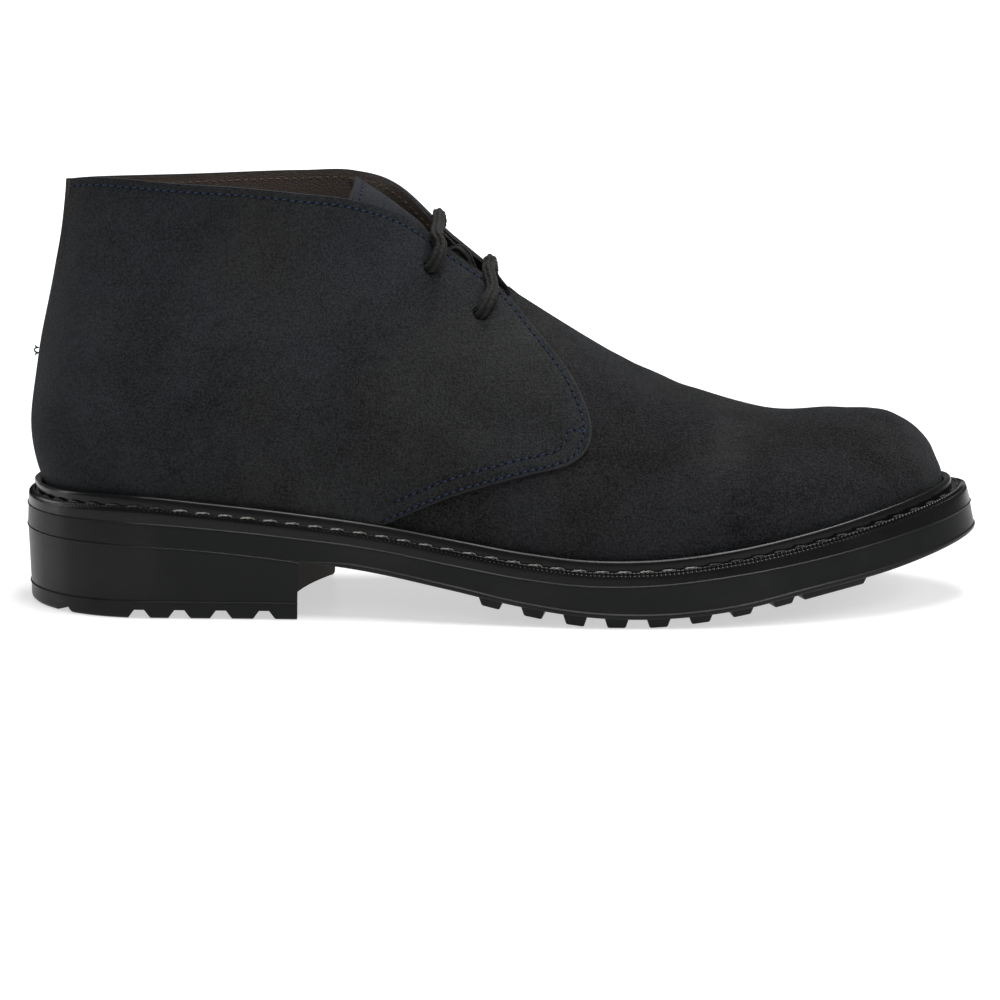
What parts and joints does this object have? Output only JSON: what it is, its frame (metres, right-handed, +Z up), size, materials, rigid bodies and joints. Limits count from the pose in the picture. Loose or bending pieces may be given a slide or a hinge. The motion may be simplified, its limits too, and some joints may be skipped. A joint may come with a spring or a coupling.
{
  "type": "chukka boot",
  "caption": "Ankle-high suede chukka boot for the right foot, with a short laced throat, a storm welt and a thick lugged rubber sole and heel.",
  "frame": {"origin": "on the floor, under the middle of the sole's outline", "axes": "+X to the toe along the sole, +Y to the inner side of the foot, +Z up"},
  "size_m": [0.303, 0.1073, 0.1351],
  "materials": {
    "suede": "napped suede",
    "tongue_suede": "napped suede",
    "insole_leather": "smooth",
    "welt_rubber": "satin",
    "sole_rubber": "matt",
    "braid": "braided"
  },
  "bodies": {
    "root": {"upper": "suede", "tongue": "tongue_suede", "insole": "insole_leather", "welt": "welt_rubber", "outsole": "sole_rubber", "heel_block": "sole_rubber", "heel_lift": "sole_rubber", "lace": "braid"}
  },
  "joints": []
}
